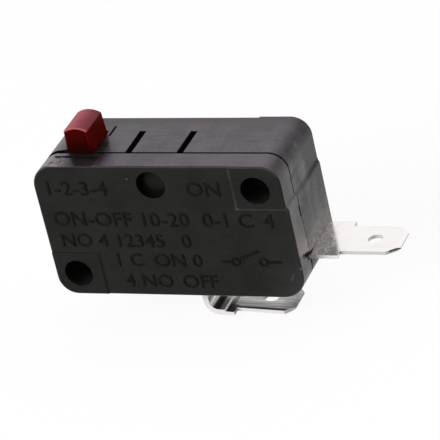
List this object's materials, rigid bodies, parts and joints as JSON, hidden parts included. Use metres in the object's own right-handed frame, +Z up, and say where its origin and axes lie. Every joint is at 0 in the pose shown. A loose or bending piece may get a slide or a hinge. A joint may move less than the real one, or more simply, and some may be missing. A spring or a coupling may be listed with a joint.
{
  "type": "micro switch",
  "caption": "Snap-action micro switch: flat moulded case and cover with diagonal mounting holes, a red pin plunger on top, a side tab and a bent bottom tab.",
  "frame": {"origin": "middle of the two mounting holes, on the plane of the rear pads", "axes": "+X along the length towards the side tab, +Y from the front cover to the rear mounting face, +Z up through the plunger"},
  "size_m": [0.0373, 0.0103, 0.0229],
  "materials": {
    "case_plastic": "moulded, semi-matt",
    "cover_plastic": "moulded, semi-matt",
    "plunger_plastic": "moulded, satin",
    "tinned_brass": "bright tin plated",
    "contact_silver": "silver alloy, turned",
    "stop_brass": "rolled",
    "spring_steel": "rolled and drawn",
    "copper_alloy": "rolled"
  },
  "bodies": {
    "housing": {"case": "case_plastic", "cover": "cover_plastic", "common_terminal": "tinned_brass", "normally_open_terminal": "tinned_brass", "fixed_contact": "contact_silver", "rest_stop": "stop_brass"},
    "plunger": {"plunger": "plunger_plastic"},
    "actuating_lever": {"actuating_lever": "spring_steel"},
    "contact_arm": {"contact_arm": "copper_alloy", "moving_contact": "contact_silver"},
    "tension_spring": {"tension_spring": "spring_steel"}
  },
  "joints": [
    {"name": "plunger_press", "type": "slide", "parent": "housing", "child": "plunger", "axis": [0, 0, -1], "range_m": [0, 0.002], "stiffness_N_per_m": 1000, "springref_m": -0.0005},
    {"name": "lever_turn", "type": "hinge", "parent": "housing", "child": "actuating_lever", "pos_m": [-0.01195, -0.00438, -0.0003], "axis": [0, 1, 0], "range_deg": [0, 37.75]},
    {"name": "arm_swing", "type": "hinge", "parent": "housing", "child": "contact_arm", "pos_m": [-0.003, -0.00438, -0.0011], "axis": [0, 1, 0], "range_deg": [0, 7.01]},
    {"name": "spring_swing", "type": "hinge", "parent": "contact_arm", "child": "tension_spring", "pos_m": [0.0045, -0.00438, -0.0011], "axis": [0, 1, 0], "range_deg": [-17.27, 0]}
  ],
  "couplings": [
    {"joint": "lever_turn", "follows": "plunger_press", "rad_per_m": 329.25},
    {"joint": "arm_swing", "follows": "plunger_press", "rad_per_m": 61.08},
    {"joint": "spring_swing", "follows": "plunger_press", "rad_per_m": -150.6}
  ]
}
